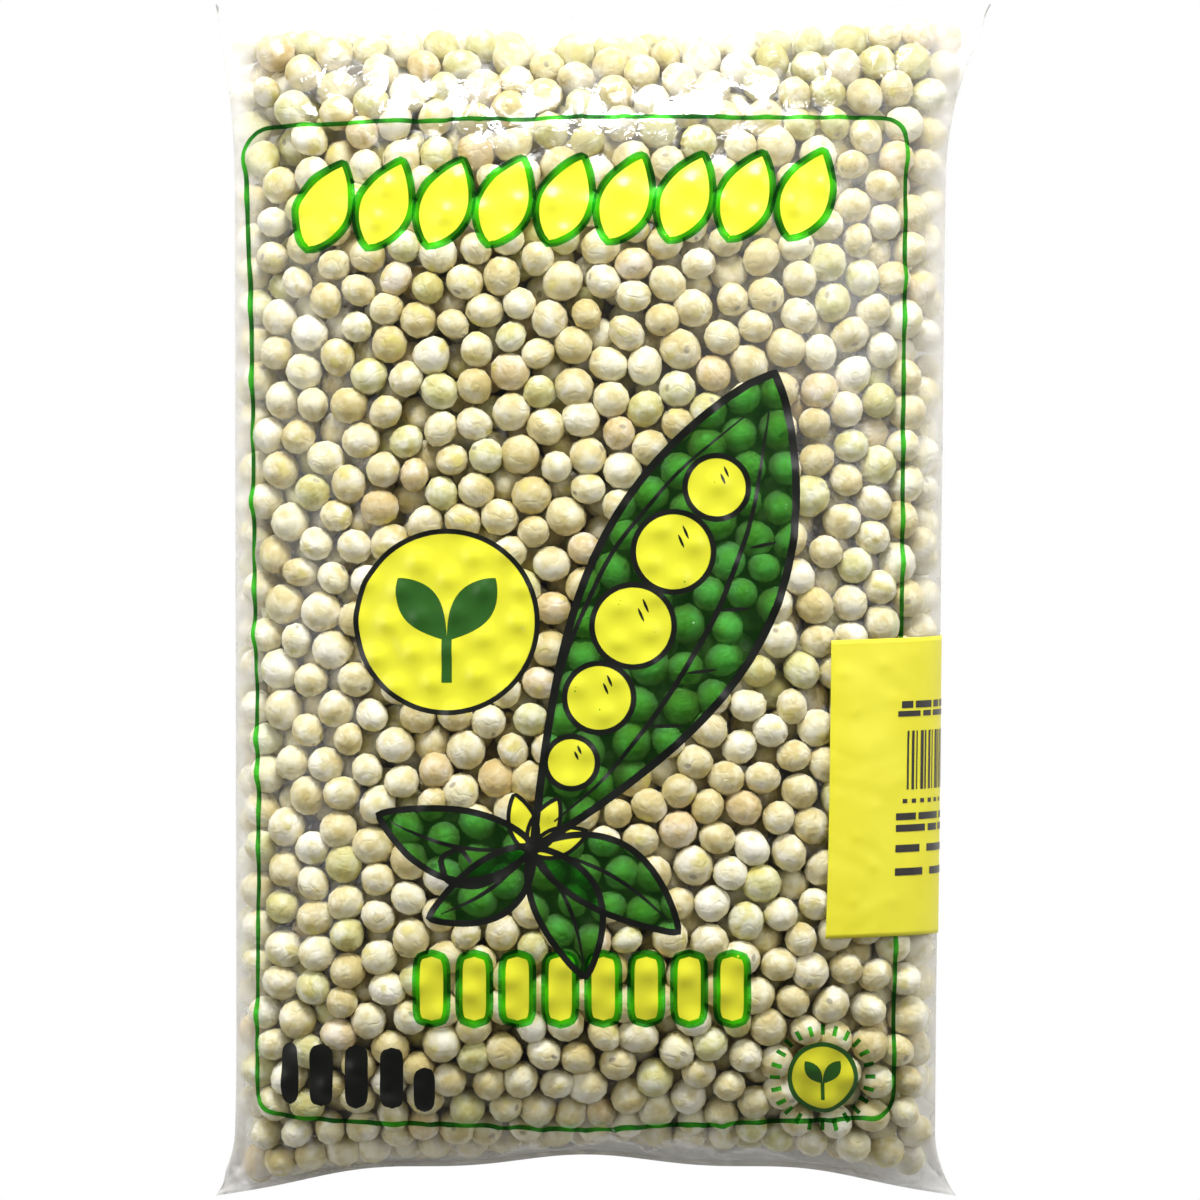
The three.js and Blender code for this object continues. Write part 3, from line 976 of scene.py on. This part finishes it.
def ring(x, y, radius, width):
    angles = np.linspace(0, 2 * math.pi, 73)[:-1]
    path = np.stack([x + radius * np.cos(angles), y + radius * np.sin(angles)], axis=1)
    return line_along(path, width, closed=True)


def leaf(x, y, length, width, angle, bend=0, fullest=0.45):
    """A leaf from its foot at x, y, that points along the angle in degrees."""
    part = np.linspace(0, 1, 25)
    swell = np.abs(np.sin(math.pi * part ** (math.log(0.5) / math.log(fullest)))) ** 0.8
    middle = bend * length * part * (1 - part) * 4
    turn = math.radians(angle)
    edges = []
    for side in (-0.5, 0.5):
        across = middle + side * width * swell
        edge_x = x + length * part * math.cos(turn) - across * math.sin(turn)
        edge_y = y + length * part * math.sin(turn) + across * math.cos(turn)
        edges.append(np.stack([edge_x, edge_y], axis=1))
    return between(*edges)


def block(x, y, width, height, corner):
    """A block with round corners about x, y."""
    part = np.linspace(-1, 1, 25)
    rounded = (1 - np.abs(part) ** (height / corner)) ** (corner / width)
    up = part * height / 2
    return between(*(np.stack([x + side * rounded * width / 2, y + up], axis=1) for side in (-1, 1)))


def border(side, place):
    """Where a side of the border line lies, between the places where it was measured."""
    return np.interp(place, *BORDER[side])


def border_path():
    """The border line, along its four sides and round its four corners."""
    wide, high = BORDER_CORNER / BORDER_WIDTH, BORDER_CORNER / BORDER_HEIGHT
    quarter = np.linspace(0, math.pi / 2, 9)
    path = []
    for turn, (u, v) in enumerate([(1, 1), (0, 1), (0, 0), (1, 0)]):
        angle = quarter + turn * math.pi / 2
        round_u = u + (1 - 2 * u) * wide + wide * np.cos(angle)
        round_v = v + (1 - 2 * v) * high + high * np.sin(angle)
        path.append(np.stack([round_u, round_v], axis=1))
    path = np.concatenate(path + [path[0][:1]])
    lengths = run_lengths(path)
    even = np.linspace(0, lengths[-1], 400)[:-1]
    u, v = (np.interp(even, lengths, path[:, axis]) for axis in range(2))
    y = BORDER_BOTTOM + BORDER_REACH * v
    x = border("left", y) * (1 - u) + border("right", y) * u
    y = border("bottom", x) * (1 - v) + border("top", x) * v
    return np.stack([x, y], axis=1) * MM


def ink_material(name, colour, cover, clear=False):
    """Ink that hides what is under it by its cover. Clear ink lets the rest through in its tint
    colour, which is darker over gaps as painted shade.
    """
    values = {"Base Color": (*colour, 1), "Roughness": 0.3}
    material, shader, add, link = new_material(name, values)
    below = add("ShaderNodeBsdfTransparent", {"Color": (*colour, 1)})
    if clear:
        stain_and_gap_shade = add("ShaderNodeAttribute", attribute_name="stain_and_gap_shade")
        link(stain_and_gap_shade.outputs["Color"], below.inputs["Color"])
    link(mixed(add, link, cover, below, shader).outputs[0], surface(material))
    return material


def grid_faces(rows, columns, first=0):
    """The four-cornered faces between the points of a grid, by the number of its first point."""
    index = first + np.arange(rows * columns).reshape(rows, columns)
    corners = [index[:-1, :-1], index[1:, :-1], index[1:, 1:], index[:-1, 1:]]
    return np.stack(corners, axis=-1).reshape(-1, 4)


def add_ink(name, patches, ink):
    """One layer of ink. Clear ink is bright where the film touches a pea and darker over a gap, as
    painted shade.
    """
    points, stains_and_gap_shades, faces = [], [], []
    bright, gap_shade_colour = (np.array(ink.get(shade, ink["colour"])) for shade in ("over_pea", "gap_painted_shade"))
    for patch in patches:
        share, along = seen_from_above(patch[..., 0], patch[..., 1])
        faces.append(grid_faces(*patch.shape[:2], sum(map(len, points))))
        points.append(film_at(share, along, film_points, ink["lift"]).reshape(-1, 3))
        part = read_film(gap_painted_shade, share, along).reshape(-1, 1)
        stains_and_gap_shades.append(bright * (1 - part) + gap_shade_colour * part)
    clear = "gap_painted_shade" in ink
    material = ink_material(f"{name}_ink", ink["colour"], ink["cover"], clear)
    piece = add_mesh(f"ink_{name}", np.concatenate(points), np.concatenate(faces), material)
    if clear:
        add_values(piece, "stain_and_gap_shade", np.concatenate(stains_and_gap_shades))
    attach(piece, "root")
    piece.visible_shadow = False


def outlined(shape, fill, line, width):
    """A shape in one ink with an outline in another."""
    fill.append(shape)
    line.append(line_along(edge_of(shape), width, closed=True))


tint, yellow, green, deep_green, black = [], [], [], [], []
green.append(line_along(border_path(), LINE, closed=True))

# Nine slanted leaves make the upper row and eight round-cornered blocks the lower one.
ROW_LINE = 1.6 * MM
LEAF_LENGTH, LEAF_WIDTH, LEAF_ANGLE = 20.5 * MM, 11.6 * MM, 68
BLOCK_WIDTH, BLOCK_HEIGHT, BLOCK_CORNER = 6.6 * MM, 15.4 * MM, 2.4 * MM
for index in range(9):
    place = (-63.5 + 12.9 * index) * MM, (75 + 0.3 * index) * MM
    outlined(leaf(*place, LEAF_LENGTH, LEAF_WIDTH, LEAF_ANGLE), yellow, green, ROW_LINE)
for index in range(8):
    place = (-36.8 + 9.2 * index) * MM, -83.2 * MM
    outlined(block(*place, BLOCK_WIDTH, BLOCK_HEIGHT, BLOCK_CORNER), yellow, green, ROW_LINE)

# The open pod lies across the middle, with its clear green shell, yellow peas, leaves and tendril.
# Its places are in millimetres along the pod from its foot and aside to the left.
POD_FOOT = np.array([-15, -53])
POD_DEGREES = 63
POD_ANGLE = math.radians(POD_DEGREES)
POD_WAY = np.array([math.cos(POD_ANGLE), math.sin(POD_ANGLE)])
POD_SIDE = np.array([-POD_WAY[1], POD_WAY[0]])


def on_pod(along, aside):
    """A place on the pod, in metres on the bag."""
    return (POD_FOOT + POD_WAY * along + POD_SIDE * aside) * MM


def pod_line(places, width, taper=0.7):
    """A smooth black line through places on the pod."""
    knots = np.array(places, float)
    part = np.linspace(0, len(knots) - 1, 12 * len(knots))
    smooth = [np.interp(part, range(len(knots)), knots[:, axis]) for axis in range(2)]
    kernel = np.ones(9) / 9
    smooth = [np.convolve(np.pad(values, 4, mode="edge"), kernel, "valid") for values in smooth]
    black.append(line_along([on_pod(*place) for place in zip(*smooth)], width * MM, taper=taper))


pod = leaf(*on_pod(0, 0), 114 * MM, 40 * MM, POD_DEGREES, bend=-0.03, fullest=0.56)
outlined(pod, tint, black, 1.7 * MM)
for along, aside, radius in ((20, 1, 5.6), (35, 2, 7.4), (52, 2.5, 8.8), (70, 2, 8.6), (86.5, 0, 6.8)):
    x, y = on_pod(along, aside)
    yellow.append(disc(x, y, radius * MM))
    black.append(ring(x, y, radius * MM, 1.2 * MM))
    for turn in (0.2, 0.45):
        start = np.array([along + radius * turn, aside - 0.2 * radius])
        pod_line([start, start + [0.25 * radius, 0.3 * radius]], 0.6)
# Two long lines and four short ones on the shell, and the curled tendril at its foot.
pod_line([(6, -1), (20, -7), (40, -11), (62, -12.5), (84, -10), (108, -2)], 1.2)
pod_line([(8, 2), (22, 8.5), (42, 13), (64, 14), (86, 9), (104, 1)], 1.0)
for along, reach in ((34, 5), (48, 6), (63, 6.5), (78, 5)):
    pod_line([(along, -12 if along > 40 else -9.5), (along + 4, -12 - reach)], 0.8)
pod_line([(0, 0), (-7, 2), (-13, 7), (-15, 13), (-11, 17), (-7, 14), (-9, 10)], 1.4, taper=0.4)
# Four leaves with a vein each, and three small yellow ones round the foot.
for angle, length, width in ((168, 34, 15), (214, 27, 12), (292, 30, 14), (330, 36, 15)):
    shape = leaf(*on_pod(0, 0), length * MM, width * MM, angle, bend=0.08)
    outlined(shape, tint, black, 1.4 * MM)
    black.append(line_along(shape[2:-4, shape.shape[1] // 2], 0.9 * MM, taper=0.8))
for angle in (20, POD_DEGREES, 106):
    outlined(leaf(*on_pod(-1, 0), 13 * MM, 6 * MM, angle), yellow, black, 0.9 * MM)

# The large badge and the small one each bear a sprout of two leaves. Short strokes ring the small one.
LARGE_RADIUS = 19.4
SMALL_BADGE = np.array([47.1, -102.4])
for x, y, radius, rim, inks in (
    (-33.5, -4.7, LARGE_RADIUS, 1.1, black),
    (*SMALL_BADGE, 7.1, 1.0, deep_green),
):
    yellow.append(disc(x * MM, y * MM, radius * MM))
    inks.append(ring(x * MM, y * MM, radius * MM, rim * MM))
    size = radius / LARGE_RADIUS
    for angle in (52, 128):
        foot = x * MM, (y - 4 * size) * MM
        deep_green.append(leaf(*foot, 17 * size * MM, 8.5 * size * MM, angle, fullest=0.55))
    stalk = np.array([[x, y - 13 * size], [x, y - 3.6 * size]]) * MM
    deep_green.append(line_along(stalk, 2.2 * size * MM))
for angle in np.linspace(0, 2 * math.pi, 25)[:-1]:
    outwards = np.array([math.cos(angle), math.sin(angle)])
    green.append(line_along((SMALL_BADGE + outwards * [[9.2], [11.4]]) * MM, 0.9 * MM))

# Five black blocks with round corners stand in a row at the lower left.
for x, width, height, y in (
    (-67.3, 3.6, 13.5, -101.6),
    (-60.6, 5, 13.5, -102),
    (-53, 5, 13.5, -102.2),
    (-45.4, 5, 13.5, -102.6),
    (-38.4, 4.6, 9.4, -105),
):
    black.append(block(x * MM, y * MM, width * MM, height * MM, 2 * MM))

for name, patches in zip(INKS, (tint, yellow, green, deep_green, black)):
    add_ink(name, patches, INKS[name])


# ---- The paper label ----
# A plain yellow paper label is stuck over the film and wraps round its right side. It is stiffer than
# the film, so it bridges the gaps between the peas, which show only as a faint relief.
LABEL_TOP = -8.6 * MM
LABEL_HEIGHT = 64 * MM
LABEL_FRONT = 34 * MM
LABEL_UNDER = 11.5 * MM
LABEL_WIDTH = LABEL_FRONT + LABEL_UNDER
LABEL_SLOPE = 0.03
LABEL_LIFT = 0.28 * MM
LABEL_STEP = 1 * MM
LABEL_PULL = 0.002 * MM
LABEL_SMOOTHINGS = 4
PAPER = 0.1 * MM
PAPER_SHADES = {0.3: (0.79, 0.73, 0.02, 1), 0.7: (0.85, 0.79, 0.04, 1)}

label_heights = tightened(film_heights, BRIDGING_STEPS, LABEL_PULL)
for _ in range(LABEL_SMOOTHINGS):
    label_heights = np.maximum(neighbour_mean(label_heights), 0)
label_film = raised(np.maximum(label_heights, film_heights))


def on_label(across, down, lift):
    """A point on the label, from its upper left corner."""
    y = LABEL_TOP - down + across * LABEL_SLOPE
    row = np.clip((y / LENGTH + 0.5) * FILM_ROWS, 0, FILM_ROWS).round().astype(int)
    share = (LABEL_FRONT - across) / girths[row]
    return film_at(share, y, label_film, lift)


lines = (np.linspace(0, size, 1 + round(size / LABEL_STEP)) for size in (LABEL_WIDTH, LABEL_HEIGHT))
across, down = np.meshgrid(*lines, indexing="ij")
points = on_label(across, down, LABEL_LIFT)
label_faces = grid_faces(*across.shape)[:, ::-1]

paper, paper_shader, add, link = new_material("yellow_paper", {"Roughness": 0.5})
place = add("ShaderNodeTexCoord")
fibres = add("ShaderNodeTexNoise", {"Scale": 90, "Detail": 6})
link(place.outputs["Object"], fibres.inputs["Vector"])
shades = add("ShaderNodeValToRGB")
for stop, (position, colour) in zip(shades.color_ramp.elements, PAPER_SHADES.items()):
    stop.position = position
    stop.color = colour
link(fibres.outputs["Fac"], shades.inputs["Fac"])
link(shades.outputs["Color"], paper_shader.inputs["Base Color"])
crumpled(paper_shader, add, link, 45, 0.25, 2 * MM)
paper_label = add_mesh("paper_label", points.reshape(-1, 3), label_faces, paper)
scene.view_layers[0].objects.active = paper_label
thickness = paper_label.modifiers.new("thickness", "SOLIDIFY")
thickness.thickness = PAPER
thickness.offset = -1
paper_label.select_set(True)
bpy.ops.object.modifier_apply(modifier="thickness")
paper_label.select_set(False)
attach(paper_label, "root")
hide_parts("label")

# Its print is kept to plain dashes and bars, partly on the front and partly round the side. Each row
# of dashes: how far down it is, its height, and where each dash starts and how long it is.
MARK_ROWS = [
    (13.6, 1.5, [(16.5, 3), (20.2, 5), (26, 2.4), (29.2, 6)]),
    (15.7, 1.2, [(15.6, 6), (22.4, 2.6), (25.8, 8)]),
    (34.6, 0.9, [(17, 1.2), (19.4, 1.2), (21.8, 1.2), (24.2, 1.2), (26.6, 1.2), (29, 1.2)]),
    (37.6, 1.5, [(15.4, 5.2), (21.4, 7), (29.6, 5)]),
    (40.1, 1.5, [(15.4, 8), (24.4, 3.6), (29, 6.5)]),
    (44.4, 1.6, [(15.4, 6.4), (24, 9)]),
    (49.4, 1.6, [(15.4, 7.4), (25.2, 7.8)]),
]
BAR_WIDTHS = (0.5, 0.9, 0.35, 0.7)
MARK_LIFT = 0.36 * MM
marks = [(left, row, width, high) for row, high, spans in MARK_ROWS for left, width in spans]
marks += [(18 + 1.25 * bar, 20, BAR_WIDTHS[bar * 3 % 4], 12.6) for bar in range(13)]
points, faces = [], []
for left, row, width, high in marks:
    steps = max(1, math.ceil(width)), max(1, math.ceil(high))
    across, down = np.meshgrid(
        np.linspace(left, left + width, steps[0] + 1) * MM,
        np.linspace(row, row + high, steps[1] + 1) * MM,
        indexing="ij",
    )
    faces.append(grid_faces(*across.shape, sum(map(len, points)))[:, [0, 3, 2, 1]])
    points.append(on_label(across, down, MARK_LIFT).reshape(-1, 3))
print_material = ink_material("label_print", (0.035, 0.03, 0.028), 0.9)
label_marks = add_mesh("label_marks", np.concatenate(points), np.concatenate(faces), print_material)
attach(label_marks, "root")
